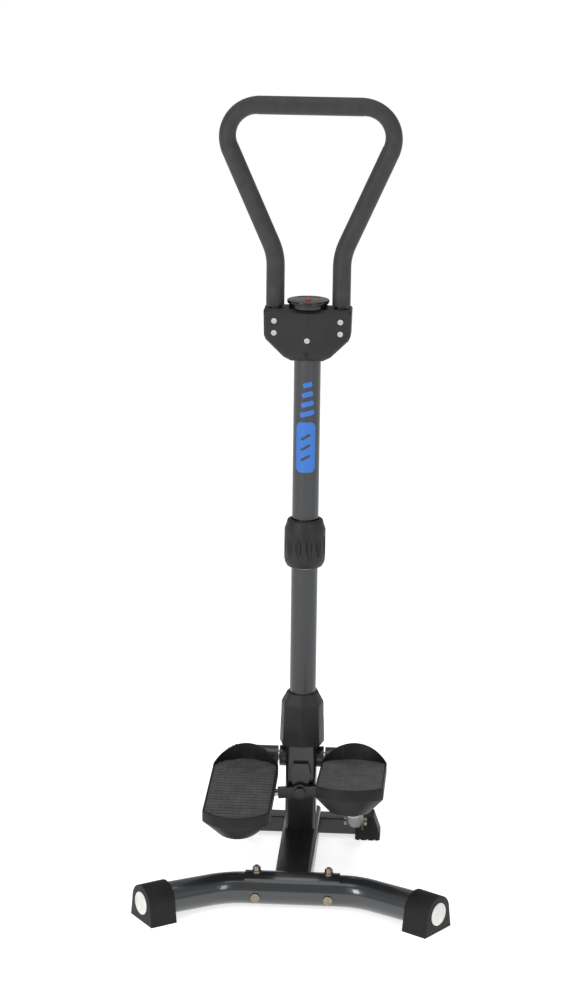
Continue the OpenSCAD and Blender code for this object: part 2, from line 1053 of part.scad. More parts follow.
bush_run = 18;
module pedal_bushes(side) {
  color([0.85, 0.85, 0.82])
    at_pedal(side)
      for (x = [sleeve_out - bush_run / 2, -sleeve_in + bush_run / 2])
        translate([side * x, 0, 0])
          difference() {
            x_bar(axle_d + 2 * bush_wall, bush_run);
            x_bar(axle_d + 2 * run_gap, bush_run + 2);
          }
}

module pedal_screws(side) {
  color(zinc)
    at_pedal(side)
      for (y = screw_rows)
        translate([0, y, 0]) {
          translate([0, 0, arm_top - arm_h])
            bar(4, arm_h - arm_top - 1);
          translate([0, 0, arm_top - arm_h - 3])
            bar(9, 3);
        }
}

module damper_pin(side) {
  color(bright)
    at_pedal(side)
      translate([0, pin_y, pin_z]) {
        x_bar(pin_d, 32);
        for (x = [-1, 1])
          translate([x * 18.5, 0, 0])
            x_bar(13, 5);
      }
}

// Dampers: the body turns on a pin at the front cross tube, and its rod pushes on the pedal's pin

foot_pin_y = 62;
foot_pin_z = 40;
function pin_at(side) = [
  pin_y * cos(lift(side)) + pin_z * sin(lift(side)),
  axle_z - pin_y * sin(lift(side)) + pin_z * cos(lift(side))
];
function damper_run(side) = norm([foot_pin_y - pin_at(side)[0], pin_at(side)[1] - foot_pin_z]);
function damper_slope(side) = atan2(pin_at(side)[1] - foot_pin_z, foot_pin_y - pin_at(side)[0]);

// Puts a part on the damper's line, with +Z from the lower pin to the upper one
module at_damper(side) {
  translate([side * pedal_gap / 2, column_y + foot_pin_y, foot_pin_z])
    rotate([90 - damper_slope(side), 0, 0])
      children();
}

body_l = 112;
eye_d = 20;
eye_w = 16;
neck_l = 17;
module damper_body(side) {
  color([0.37, 0.37, 0.38])
    at_damper(side)
      difference() {
        union() {
          x_bar(eye_d, eye_w);
          translate([0, 0, 5])
            bar(14, neck_l - 4);
          translate([0, 0, neck_l])
            bar(damper_d, body_l - neck_l);
        }
        x_bar(pin_d + 2 * run_gap, eye_w + 2);
        translate([0, 0, 24])
          bar(damper_d - 5, body_l - 30);
        translate([0, 0, 24])
          bar(rod_d + 2 * run_gap, body_l);
      }
}

module damper_collar(side) {
  color(bright)
    at_damper(side)
      translate([0, 0, body_l])
        difference() {
          bar(damper_d + 3, 6);
          translate([0, 0, -1])
            bar(rod_d + 2 * loose_gap, 8);
        }
}

rod_inside = 62;
module damper_rod(side) {
  color(bright)
    at_damper(side)
      translate([0, 0, damper_run(side)])
        difference() {
          union() {
            x_bar(eye_d, eye_w);
            translate([0, 0, 4 - damper_run(side) + body_l - rod_inside])
              bar(rod_d, damper_run(side) - body_l + rod_inside - 8);
          }
          x_bar(pin_d + 5, eye_w + 2);
        }
}

module damper_brackets() {
  color(steel)
    for (side = [-1, 1])
      translate([side * pedal_gap / 2, column_y + foot_pin_y, foot_pin_z])
        difference() {
          for (x = [-1, 1])
            translate([x * 12 - 2, -10, -12])
              cube([4, cross_reach - cross_s / 2 - foot_pin_y + 10, 22]);
          x_bar(pin_d, 40);
        }
}

module damper_lower_pins() {
  color(zinc)
    for (side = [-1, 1])
      translate([side * pedal_gap / 2, column_y + foot_pin_y, foot_pin_z]) {
        x_bar(pin_d, 30);
        for (x = [-1, 1])
          translate([x * 16.5, 0, 0])
            x_bar(13, 5);
      }
}

rear_base_tube();
rear_cap(-1);  // rear_cap_left
rear_cap(1);  // rear_cap_right
cap_discs();
saddle_plate();
carriage_bolts();
dome_nuts();
saddle_washers();
spine_tube();
post_tube();
axle_housing();
rocker_bracket();
front_cross_tube();
front_foot(-1);  // front_foot_left
front_foot(1);  // front_foot_right
pivot_axle();
axle_nuts();
damper_brackets();
damper_lower_pins();
rocker_bolt();
post_sleeve();
post_screws();
lower_tube();
guide_bush();
twist_collar();
inner_tube();
upper_tube();
tube_label();
bracket_front();
bracket_rear();
bracket_screws();
bracket_plug();
handlebar_tube();
foam_grip();
console_body();
console_window();
console_board();
button_cell();
console_button();
rocker_beam();
rocker_rollers();
pedal_tray(-1);  // left_pedal_tray
pedal_tread(-1);  // left_pedal_tread
pedal_arm(-1);  // left_pedal_arm
pedal_bushes(-1);  // left_pedal_bushes
pedal_screws(-1);  // left_pedal_screws
damper_pin(-1);  // left_damper_pin
damper_body(-1);  // left_damper_body
damper_collar(-1);  // left_damper_collar
damper_rod(-1);  // left_damper_rod
pedal_tray(1);  // right_pedal_tray
pedal_tread(1);  // right_pedal_tread
pedal_arm(1);  // right_pedal_arm
pedal_bushes(1);  // right_pedal_bushes
pedal_screws(1);  // right_pedal_screws
damper_pin(1);  // right_damper_pin
damper_body(1);  // right_damper_body
damper_collar(1);  // right_damper_collar
damper_rod(1);  // right_damper_rod
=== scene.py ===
"""A home stepper: floor frame, telescopic column, loop handlebar and two linked pedals."""

import math

import bmesh
import bpy
from mathutils import Matrix, Quaternion, Vector


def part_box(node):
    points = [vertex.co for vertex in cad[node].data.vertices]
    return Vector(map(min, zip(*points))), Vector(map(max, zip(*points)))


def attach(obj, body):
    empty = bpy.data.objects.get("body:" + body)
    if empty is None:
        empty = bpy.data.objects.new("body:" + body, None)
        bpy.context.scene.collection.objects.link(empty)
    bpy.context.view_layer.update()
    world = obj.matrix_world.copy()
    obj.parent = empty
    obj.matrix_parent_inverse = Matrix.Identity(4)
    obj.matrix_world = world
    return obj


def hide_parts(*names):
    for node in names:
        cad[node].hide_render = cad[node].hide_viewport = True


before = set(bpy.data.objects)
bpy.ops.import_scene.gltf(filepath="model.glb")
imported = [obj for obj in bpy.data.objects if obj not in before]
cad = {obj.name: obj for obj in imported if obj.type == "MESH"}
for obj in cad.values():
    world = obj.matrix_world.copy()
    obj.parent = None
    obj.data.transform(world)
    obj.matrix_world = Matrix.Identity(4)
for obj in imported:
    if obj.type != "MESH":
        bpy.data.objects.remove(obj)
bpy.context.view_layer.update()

# The camera stands a little right of the machine's middle line and looks down on it by 15
# degrees, from 4.3 m, with a long lens and the slight lean of a hand-set tripod.
LENS_MM = 97.2
CAMERA_DISTANCE = 4.32
CAMERA_TURN = math.radians(3.5)
CAMERA_RISE = math.radians(15.0)
CAMERA_ROLL = math.radians(0.75)
column_y = sum(corner[1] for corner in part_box("upper_tube")) / 2
aim = Vector((-0.0208, column_y, 0.610))
sight = Vector((
    math.sin(CAMERA_TURN) * math.cos(CAMERA_RISE),
    -math.cos(CAMERA_TURN) * math.cos(CAMERA_RISE),
    math.sin(CAMERA_RISE),
))
lens = bpy.data.cameras.new("camera")
lens.lens = LENS_MM
lens.sensor_width = 36.0
camera = bpy.data.objects.new("camera", lens)
camera.location = aim + CAMERA_DISTANCE * sight
camera.rotation_mode = "QUATERNION"
camera.rotation_quaternion = (-sight).to_track_quat("-Z", "Y") @ Quaternion((0, 0, 1), CAMERA_ROLL)
bpy.context.scene.collection.objects.link(camera)
bpy.context.scene.camera = camera


# The studio: a white sweep under the machine and a pale room around it. Two strip boxes stand
# at the front left and right, and a broad one hangs above.
def linear(hex_text):
    """The linear colour of an sRGB hex value."""
    parts = [int(hex_text[i:i + 2], 16) / 255 for i in (1, 3, 5)]
    return [p / 12.92 if p <= 0.04045 else ((p + 0.055) / 1.055) ** 2.4 for p in parts] + [1.0]


def add(tree, kind, sockets=None, **settings):
    """One shader node: its settings, and its sockets' values or the outputs that feed them."""
    node = tree.nodes.new("ShaderNode" + kind)
    for name, value in settings.items():
        setattr(node, name, value)
    for name, value in (sockets or {}).items():
        socket = node.inputs[name]
        if isinstance(value, bpy.types.NodeSocket):
            tree.links.new(value, socket)
        else:
            socket.default_value = value
    return node


def material_tree(name):
    """A new material with an empty tree."""
    material = bpy.data.materials.new(name)
    material.use_nodes = True
    material.node_tree.nodes.clear()
    return material, material.node_tree


def apply_place():
    """Moves the selected pieces' place, turn and size into their meshes."""
    bpy.ops.object.transform_apply(location=True, rotation=True, scale=True)


def soft_box(name, place, size, watts):
    """A rectangular soft box that faces the machine's middle."""
    data = bpy.data.lights.new(name, "AREA")
    data.shape = "RECTANGLE"
    data.size, data.size_y = size
    data.energy = watts
    box = bpy.data.objects.new(name, data)
    box.location = place
    box.rotation_euler = (Vector((0, column_y, 0.55)) - Vector(place)).to_track_quat("-Z", "Y").to_euler()
    bpy.context.scene.collection.objects.link(box)


soft_box("box_above", (0.0, -0.4, 3.2), (2.4, 2.4), 30.0)
soft_box("box_left", (-1.9, -2.6, 1.7), (0.7, 1.6), 40.0)
soft_box("box_right", (1.9, -2.6, 1.7), (0.7, 1.6), 20.0)

world = bpy.data.worlds.new("studio")
world.use_nodes = True
world.node_tree.nodes.clear()
room = add(world.node_tree, "Background", {"Color": linear("#FAFAFA"), "Strength": 0.4})
add(world.node_tree, "OutputWorld", {"Surface": room.outputs["Background"]})
bpy.context.scene.world = world
bpy.context.scene.view_settings.view_transform = "Standard"

paper, tree = material_tree("white_paper_sweep")
skin = add(tree, "BsdfPrincipled", {
    "Base Color": linear("#F4F4F4"),
    "Roughness": 0.95,
    "Specular IOR Level": 0.1,
    "Emission Color": linear("#FFFFFF"),
    "Emission Strength": 0.66,
})
add(tree, "OutputMaterial", {"Surface": skin.outputs["BSDF"]})
bpy.ops.object.select_all(action="DESELECT")
bpy.ops.mesh.primitive_plane_add(size=40, location=(0, 0, 0))
floor = bpy.context.object
floor.name = "floor"
floor.data.materials.append(paper)


# Powder coat on the two column tubes: a satin graphite epoxy, sprayed and baked. It has a fine
# orange peel of about 1.5 mm and a faint metallic fleck.
def paint(piece, material):
    """Gives a piece one material and no other."""
    piece.data.materials.clear()
    piece.data.materials.append(material)


def coat(names, material):
    """Gives CAD nodes a finish."""
    for name in names:
        for holder in cad[name].material_slots:
            holder.material = material


graphite, tree = material_tree("satin_graphite_powder_coat")
place = add(tree, "TexCoord").outputs["Object"]
peel = add(tree, "TexNoise", {"Vector": place, "Scale": 650.0, "Detail": 2.0})
fleck = add(tree, "TexNoise", {"Vector": place, "Scale": 2600.0, "Detail": 1.0})
tone = add(tree, "ValToRGB", {"Fac": fleck.outputs["Fac"]})
tone.color_ramp.elements[0].position = 0.35
tone.color_ramp.elements[0].color = linear("#25272A")
tone.color_ramp.elements[1].position = 0.7
tone.color_ramp.elements[1].color = linear("#33363A")
swell = add(tree, "Bump", {"Height": peel.outputs["Fac"], "Strength": 0.25, "Distance": 0.0001})
sheen = add(tree, "MapRange", {"Value": peel.outputs["Fac"], "To Min": 0.32, "To Max": 0.44})
skin = add(tree, "BsdfPrincipled", {
    "Base Color": tone.outputs["Color"],
    "Roughness": sheen.outputs["Result"],
    "Normal": swell.outputs["Normal"],
    "Coat Weight": 0.15,
    "Coat Roughness": 0.3,
})
add(tree, "OutputMaterial", {"Surface": skin.outputs["BSDF"]})
coat(["lower_tube", "upper_tube"], graphite)

# Gloss paint on the rear base tube: the same graphite under a clear coat, so the studio's boxes
# show in it as small bright spots.
gloss, tree = material_tree("gloss_graphite_paint")
place = add(tree, "TexCoord").outputs["Object"]
peel = add(tree, "TexNoise", {"Vector": place, "Scale": 420.0, "Detail": 2.0})
tone = add(tree, "ValToRGB", {"Fac": peel.outputs["Fac"]})
tone.color_ramp.elements[0].color = linear("#1E2023")
tone.color_ramp.elements[1].color = linear("#282B2E")
swell = add(tree, "Bump", {"Height": peel.outputs["Fac"], "Strength": 0.12, "Distance": 0.0001})
skin = add(tree, "BsdfPrincipled", {
    "Base Color": tone.outputs["Color"],
    "Roughness": 0.28,
    "Normal": swell.outputs["Normal"],
    "Coat Weight": 0.8,
    "Coat Roughness": 0.08,
})
add(tree, "OutputMaterial", {"Surface": skin.outputs["BSDF"]})
coat(["rear_base_tube", "saddle_plate"], gloss)

# Black gloss enamel on the welded frame: spine, post, cross tube, sleeves, rocker and arms.
# It has a coarser orange peel than the column, and dulls a little where dust has settled.
enamel, tree = material_tree("gloss_black_enamel")
place = add(tree, "TexCoord").outputs["Object"]
peel = add(tree, "TexNoise", {"Vector": place, "Scale": 380.0, "Detail": 3.0})
dust = add(tree, "TexNoise", {"Vector": place, "Scale": 22.0, "Detail": 4.0})
tone = add(tree, "ValToRGB", {"Fac": dust.outputs["Fac"]})
tone.color_ramp.elements[0].position = 0.4
tone.color_ramp.elements[0].color = linear("#161516")
tone.color_ramp.elements[1].position = 0.75
tone.color_ramp.elements[1].color = linear("#201F20")
dull = add(tree, "MapRange", {"Value": dust.outputs["Fac"], "To Min": 0.2, "To Max": 0.4})
swell = add(tree, "Bump", {"Height": peel.outputs["Fac"], "Strength": 0.18, "Distance": 0.00015})
skin = add(tree, "BsdfPrincipled", {
    "Base Color": tone.outputs["Color"],
    "Roughness": dull.outputs["Result"],
    "Normal": swell.outputs["Normal"],
    "Coat Weight": 0.3,
    "Coat Roughness": 0.15,
})
add(tree, "OutputMaterial", {"Surface": skin.outputs["BSDF"]})
coat([
    "spine_tube", "post_tube", "axle_housing", "rocker_bracket", "front_cross_tube",
    "damper_brackets", "rocker_beam", "left_pedal_arm", "right_pedal_arm",
    "handlebar_tube",
], enamel)
coat(["rocker_bolt"], enamel)

# Zinc on the fasteners: steel, zinc plated and yellow passivated, so the colour drifts between
# straw and grey.
zinc, tree = material_tree("yellow_zinc_plated_steel")
place = add(tree, "TexCoord").outputs["Object"]
drift = add(tree, "TexNoise", {"Vector": place, "Scale": 140.0, "Detail": 4.0})
tone = add(tree, "ValToRGB", {"Fac": drift.outputs["Fac"]})
tone.color_ramp.elements[0].position = 0.35
tone.color_ramp.elements[0].color = linear("#7E776B")
tone.color_ramp.elements[1].position = 0.7
tone.color_ramp.elements[1].color = linear("#A0957F")
dull = add(tree, "MapRange", {"Value": drift.outputs["Fac"], "To Min": 0.25, "To Max": 0.45})
skin = add(tree, "BsdfPrincipled", {
    "Base Color": tone.outputs["Color"],
    "Metallic": 1.0,
    "Roughness": dull.outputs["Result"],
})
add(tree, "OutputMaterial", {"Surface": skin.outputs["BSDF"]})
coat([
    "carriage_bolts", "dome_nuts", "saddle_washers", "post_screws", "left_damper_pin",
    "right_damper_pin", "damper_lower_pins",
], zinc)

# Bright steel on the axle, rods and rollers: ground bar, with fine turning marks round it.
bright, tree = material_tree("ground_bright_steel")
place = add(tree, "TexCoord").outputs["Object"]
marks = add(tree, "TexNoise", {"Vector": place, "Scale": 900.0, "Detail": 2.0})
dull = add(tree, "MapRange", {"Value": marks.outputs["Fac"], "To Min": 0.16, "To Max": 0.34})
skin = add(tree, "BsdfPrincipled", {
    "Base Color": linear("#C6C7C9"),
    "Metallic": 1.0,
    "Roughness": dull.outputs["Result"],
})
add(tree, "OutputMaterial", {"Surface": skin.outputs["BSDF"]})
coat([
    "pivot_axle", "axle_nuts", "inner_tube", "rocker_rollers", "button_cell",
    "bracket_screws", "left_damper_rod", "right_damper_rod", "left_damper_collar",
    "right_damper_collar", "left_pedal_screws", "right_pedal_screws",
], bright)

# Moulded black plastic: the bracket's shells and plug, the collar and the sleeve come from a
# spark-eroded mould, whose grain is drawn at 0.8 mm so that it shows.
moulded, tree = material_tree("moulded_black_abs")
place = add(tree, "TexCoord").outputs["Object"]
grain = add(tree, "TexNoise", {"Vector": place, "Scale": 1250.0, "Detail": 2.0})
cloud = add(tree, "TexNoise", {"Vector": place, "Scale": 35.0, "Detail": 3.0})
tone = add(tree, "ValToRGB", {"Fac": cloud.outputs["Fac"]})
tone.color_ramp.elements[0].position = 0.3
tone.color_ramp.elements[0].color = linear("#1E1E20")
tone.color_ramp.elements[1].position = 0.75
tone.color_ramp.elements[1].color = linear("#272729")
dull = add(tree, "MapRange", {"Value": cloud.outputs["Fac"], "To Min": 0.42, "To Max": 0.58})
swell = add(tree, "Bump", {"Height": grain.outputs["Fac"], "Strength": 0.35, "Distance": 0.0001})
skin = add(tree, "BsdfPrincipled", {
    "Base Color": tone.outputs["Color"],
    "Roughness": dull.outputs["Result"],
    "Specular IOR Level": 0.3,
    "Normal": swell.outputs["Normal"],
})
add(tree, "OutputMaterial", {"Surface": skin.outputs["BSDF"]})
coat(["bracket_front", "bracket_rear", "bracket_plug"], moulded)

# The foam grip: a sleeve of closed-cell nitrile foam, pushed over the whole bar from foot to
# foot. It is drawn thinner round the two tight top corners, and its skin has fine pores, which
# are drawn at 1 mm so that they show.
FOAM_D = 0.029
BAR_FOOT = 0.052
BAR_HALF_W = 0.129
LOW_BEND_R = 0.090
TOP_BEND_R = 0.048
SPLAY = math.radians(24)
CORNER_SQUEEZE = 0.10
foam_low, foam_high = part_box("foam_grip")
bar_top = foam_high.z - FOAM_D / 2
corner = Vector((BAR_HALF_W - TOP_BEND_R, 0, bar_top - TOP_BEND_R))
splay_end = corner + TOP_BEND_R * Vector((math.cos(SPLAY), 0, -math.sin(SPLAY)))
splay_start_x = BAR_FOOT + LOW_BEND_R * (1 - math.cos(SPLAY))
splay_run = (splay_end.x - splay_start_x) / math.sin(SPLAY)
low_z = splay_end.z - splay_run * math.cos(SPLAY) - LOW_BEND_R * math.sin(SPLAY)


def half_bar():
    """The right half of the bar's middle line, foot first, with how full the foam is there."""
    line = [(BAR_FOOT, foam_low.z + (low_z - foam_low.z) * i / 6, 1.0) for i in range(6)]
    for i in range(8):
        a = SPLAY * i / 8
        x = BAR_FOOT + LOW_BEND_R * (1 - math.cos(a))
        line.append((x, low_z + LOW_BEND_R * math.sin(a), 1.0))
    base = Vector((splay_start_x, low_z + LOW_BEND_R * math.sin(SPLAY)))
    rise = Vector((math.sin(SPLAY), math.cos(SPLAY)))
    line += [(*(base + rise * splay_run * i / 14), 1.0) for i in range(14)]
    for i in range(25):
        a = -SPLAY + (math.pi / 2 + SPLAY) * i / 24
        full = 1 - CORNER_SQUEEZE * math.sin(math.pi * i / 24) ** 0.6
        line.append((corner.x + TOP_BEND_R * math.cos(a), corner.z + TOP_BEND_R * math.sin(a), full))
    line += [(corner.x * (1 - i / 5), bar_top, 1.0) for i in range(1, 5)]
    return line


right = half_bar()
whole = right + [(0.0, bar_top, 1.0)] + [(-x, z, full) for x, z, full in reversed(right)]
path = bpy.data.curves.new("foam_grip_line", "CURVE")
path.dimensions = "3D"
path.bevel_depth = FOAM_D / 2
path.bevel_resolution = 10
path.use_fill_caps = True
spline = path.splines.new("POLY")
spline.points.add(len(whole) - 1)
for point, (x, z, full) in zip(spline.points, whole):
    point.co = (x, column_y, z, 1.0)
    point.radius = full
grip = bpy.data.objects.new("foam_sleeve", path)
bpy.context.scene.collection.objects.link(grip)


def only(piece):
    """Makes a piece the only selected object, and the active one."""
    bpy.ops.object.select_all(action="DESELECT")
    piece.select_set(True)
    bpy.context.view_layer.objects.active = piece


def machined(piece, kind, **settings):
    """Adds a modifier to a piece and applies it."""
    only(piece)
    modifier = piece.modifiers.new(kind.lower(), kind)
    for name, value in settings.items():
        setattr(modifier, name, value)
    bpy.ops.object.modifier_apply(modifier=modifier.name)


only(grip)
bpy.ops.object.convert(target="MESH")
bpy.ops.object.mode_set(mode="EDIT")
bpy.ops.mesh.select_all(action="SELECT")
bpy.ops.mesh.remove_doubles(threshold=0.00005)
bpy.ops.mesh.normals_make_consistent(inside=False)
bpy.ops.object.mode_set(mode="OBJECT")
machined(grip, "BEVEL", width=0.0018, segments=3, limit_method="ANGLE", angle_limit=math.radians(50))
bpy.ops.object.shade_smooth_by_angle(angle=math.radians(40))

foam, tree = material_tree("charcoal_nitrile_foam")
place = add(tree, "TexCoord").outputs["Object"]
pores = add(tree, "TexVoronoi", {"Vector": place, "Scale": 1000.0})
skin_tone = add(tree, "TexNoise", {"Vector": place, "Scale": 60.0, "Detail": 4.0})
tone = add(tree, "ValToRGB", {"Fac": skin_tone.outputs["Fac"]})
tone.color_ramp.elements[0].position = 0.35
tone.color_ramp.elements[0].color = linear("#262426")
tone.color_ramp.elements[1].position = 0.7
tone.color_ramp.elements[1].color = linear("#302E30")
swell = add(tree, "Bump", {"Height": pores.outputs["Distance"], "Strength": 0.12, "Distance": 0.0002})
skin = add(tree, "BsdfPrincipled", {
    "Base Color": tone.outputs["Color"],
    "Roughness": 0.62,
    "Specular IOR Level": 0.4,
    "Normal": swell.outputs["Normal"],
    "Sheen Weight": 0.12,
    "Sheen Roughness": 0.5,
})
add(tree, "OutputMaterial", {"Surface": skin.outputs["BSDF"]})
paint(grip, foam)
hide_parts("foam_grip")
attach(grip, "column")

# The pedals' trays: glass-filled polypropylene mouldings, each a skirted dish with straight
# sides and arched ends, open underneath for the steel arm. A half-moon wall stops the toes.
PEDAL_W = 0.106
PEDAL_L = 0.246
ARCH_R = 0.065
TREAD_TOP = 0.002
SKIRT = 0.018
DEPTH = 0.045
WALL = 0.003
TREAD_T = 0.0022
DECK_UNDER = -0.0035
UNDER_W = 0.058
UNDER_L = 0.202
TOE_WALL = 0.027
TOE_ARCH_R = 0.067
TOE_Y = -0.022
PEDAL_X = 0.088
LIFTS = {"left": math.radians(-2), "right": math.radians(9)}
axle_low, axle_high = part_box("pivot_axle")
axle_z = (axle_low.z + axle_high.z) / 2


def pick(piece, test, kind="faces"):
    """In edit mode, selects the faces or vertices that pass the test by place and normal."""
    bpy.ops.mesh.select_mode(type="FACE" if kind == "faces" else "VERT")
    bpy.ops.mesh.select_all(action="DESELECT")
    shape = bmesh.from_edit_mesh(piece.data)
    for item in getattr(shape, kind):
        spot = item.calc_center_median() if kind == "faces" else item.co
        if test(spot, item.normal):
            item.select_set(True)
    bmesh.update_edit_mesh(piece.data)


def push(x=0.0, y=0.0, z=0.0):
    """Extrudes what is selected."""
    bpy.ops.mesh.extrude_region_move(TRANSFORM_OT_translate={"value": (x, y, z)})


def outline_block(name, inset, low, high):
    """A block with the pedal's outline, set in by inset: a disc cut at both sides and drawn out."""
    bpy.ops.object.select_all(action="DESELECT")
    bpy.ops.mesh.primitive_circle_add(
        vertices=128, radius=ARCH_R - inset, fill_type="NGON", location=(0, 0, 0)
    )
    piece = bpy.context.object
    piece.name = name
    half = PEDAL_W / 2 - inset
    stretch = PEDAL_L / 2 - ARCH_R
    bpy.ops.object.mode_set(mode="EDIT")
    for side in (-1, 1):
        bpy.ops.mesh.select_all(action="SELECT")
        bpy.ops.mesh.bisect(plane_co=(side * half, 0, 0), plane_no=(side, 0, 0), clear_outer=True)
    bpy.ops.mesh.select_all(action="SELECT")
    bpy.ops.mesh.bisect(plane_co=(0, 0, 0), plane_no=(0, 1, 0))
    for side in (-1, 1):
        pick(piece, lambda spot, normal: spot.y * side > 1e-5, "verts")
        bpy.ops.transform.translate(value=(0, side * stretch, 0))
    bpy.ops.mesh.select_all(action="SELECT")
    bpy.ops.transform.translate(value=(0, 0, low))
    push(z=high - low)
    bpy.ops.mesh.select_all(action="SELECT")
    bpy.ops.mesh.normals_make_consistent(inside=False)
    bpy.ops.object.mode_set(mode="OBJECT")
    return piece


def cut(piece, tool, how="DIFFERENCE"):
    """Cuts a piece with another, or joins them, and takes the tool away."""
    machined(piece, "BOOLEAN", operation=how, object=tool, solver="EXACT")
    bpy.data.objects.remove(tool)


def set_down(piece, side):
    """Moves a pedal's piece from the bench to its place on the axle, at the rest lift."""
    way = -1 if side == "left" else 1
    spot = Matrix.Translation((way * PEDAL_X, column_y, axle_z))
    turn = Matrix.Rotation(-LIFTS[side], 4, "X")
    piece.matrix_world = spot @ turn @ Matrix.Translation((0, TOE_Y - PEDAL_L / 2, 0))
    only(piece)
    apply_place()


def tray(name):
    """One tray on the bench, with its middle over the origin and its toe towards +Y."""
    dish = outline_block(name, 0, TREAD_TOP - SKIRT, TREAD_TOP)
    bpy.ops.object.mode_set(mode="EDIT")
    # The flanks taper in below the skirt
    pick(dish, lambda spot, normal: normal.z < -0.9)
    push(z=SKIRT - DEPTH)
    narrow = (UNDER_W / PEDAL_W, UNDER_L / PEDAL_L, 1)
    bpy.ops.transform.resize(value=narrow, center_override=(0, 0, 0))
    # The hollow underneath follows them at the wall's thickness
    bpy.ops.mesh.inset(thickness=WALL)
    push(z=DEPTH - SKIRT)
    wide = ((PEDAL_W - 2 * WALL) / (UNDER_W - 2 * WALL), (PEDAL_L - 2 * WALL) / (UNDER_L - 2 * WALL), 1)
    bpy.ops.transform.resize(value=wide, center_override=(0, 0, 0))
    push(z=DECK_UNDER - TREAD_TOP + SKIRT)
    # The tread's seat, inside a rim
    pick(dish, lambda spot, normal: normal.z > 0.9 and spot.z > TREAD_TOP - 0.0001)
    bpy.ops.mesh.inset(thickness=WALL)
    push(z=-TREAD_T)
    bpy.ops.object.mode_set(mode="OBJECT")
    # The toe wall is the rim carried up and cut to an arch
    wall = outline_block("toe_wall", 0, TREAD_TOP - 0.001, TREAD_TOP + TOE_WALL + 0.004)
    cut(wall, outline_block("toe_hollow", WALL, TREAD_TOP - 0.01, TREAD_TOP + TOE_WALL + 0.01))
    bpy.ops.object.select_all(action="DESELECT")
    bpy.ops.mesh.primitive_cylinder_add(
        vertices=160, radius=TOE_ARCH_R, depth=0.06,
        location=(0, PEDAL_L / 2 - 0.008, TREAD_TOP + TOE_WALL - TOE_ARCH_R),
        rotation=(math.pi / 2, 0, 0),
    )
    cut(wall, bpy.context.object, "INTERSECT")
    cut(dish, wall, "UNION")
    machined(
        dish, "BEVEL", width=0.0011, segments=3, limit_method="ANGLE", angle_limit=math.radians(28),
        use_clamp_overlap=False,
    )
    bpy.ops.object.shade_smooth_by_angle(angle=math.radians(35))
    return dish


polypropylene, tree = material_tree("glass_filled_polypropylene")
place = add(tree, "TexCoord").outputs["Object"]
grain = add(tree, "TexNoise", {"Vector": place, "Scale": 1100.0, "Detail": 2.0})
flow = add(tree, "TexNoise", {"Vector": place, "Scale": 28.0, "Detail": 3.0, "Distortion": 0.6})
tone = add(tree, "ValToRGB", {"Fac": flow.outputs["Fac"]})
tone.color_ramp.elements[0].position = 0.3
tone.color_ramp.elements[0].color = linear("#131314")
tone.color_ramp.elements[1].position = 0.75
tone.color_ramp.elements[1].color = linear("#1A1A1B")
dull = add(tree, "MapRange", {"Value": flow.outputs["Fac"], "To Min": 0.4, "To Max": 0.55})
swell = add(tree, "Bump", {"Height": grain.outputs["Fac"], "Strength": 0.35, "Distance": 0.0001})
skin = add(tree, "BsdfPrincipled", {
    "Base Color": tone.outputs["Color"],
    "Roughness": dull.outputs["Result"],
    "Specular IOR Level": 0.25,
    "Normal": swell.outputs["Normal"],
})
add(tree, "OutputMaterial", {"Surface": skin.outputs["BSDF"]})
for side in ("left", "right"):
    dish = tray(side + "_tray")
    set_down(dish, side)
    paint(dish, polypropylene)
    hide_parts(side + "_pedal_tray")
    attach(dish, side + "_pedal")

# The treads: softer grey mats, pressed into the trays. Ten columns of short dashes are sunk
# in each, so that a shoe's sole grips.
TREAD_ROOM = 0.0002
TRIM_OVER = 0.002
DASH_COLUMNS = 10
DASH_ROWS = 22
DASH_RIM = 0.0010
DASH_DEPTH = 0.0018


def tread(name):
    """One tread on the bench: a gridded sheet with sunk dashes, cut to the pedal's outline."""
    bpy.ops.object.select_all(action="DESELECT")
    bpy.ops.mesh.primitive_grid_add(
        x_subdivisions=DASH_COLUMNS, y_subdivisions=2 * DASH_ROWS + 1, size=1, location=(0, 0, TREAD_TOP)
    )
    mat = bpy.context.object
    mat.name = name
    mat.scale = (PEDAL_W, PEDAL_L, 1)
    apply_place()
    row = PEDAL_L / (2 * DASH_ROWS + 1)
    bpy.ops.object.mode_set(mode="EDIT")
    bpy.ops.mesh.select_all(action="SELECT")
    push(z=-0.004)
    bpy.ops.mesh.select_all(action="SELECT")
    bpy.ops.mesh.normals_make_consistent(inside=False)
    pick(mat, lambda spot, normal: normal.z > 0.9 and int((spot.y + PEDAL_L / 2) / row) % 2 == 1)
    bpy.ops.mesh.inset(thickness=DASH_RIM, use_individual=True)
    push(z=-DASH_DEPTH)
    bpy.ops.object.mode_set(mode="OBJECT")
    trim = outline_block(
        "tread_cutter", WALL + TREAD_ROOM, TREAD_TOP - TREAD_T, TREAD_TOP + TRIM_OVER
    )
    cut(mat, trim, "INTERSECT")
    machined(
        mat, "BEVEL", width=0.00025, segments=2, limit_method="ANGLE", angle_limit=math.radians(40)
    )
    bpy.ops.object.shade_smooth_by_angle(angle=math.radians(30))
    return mat


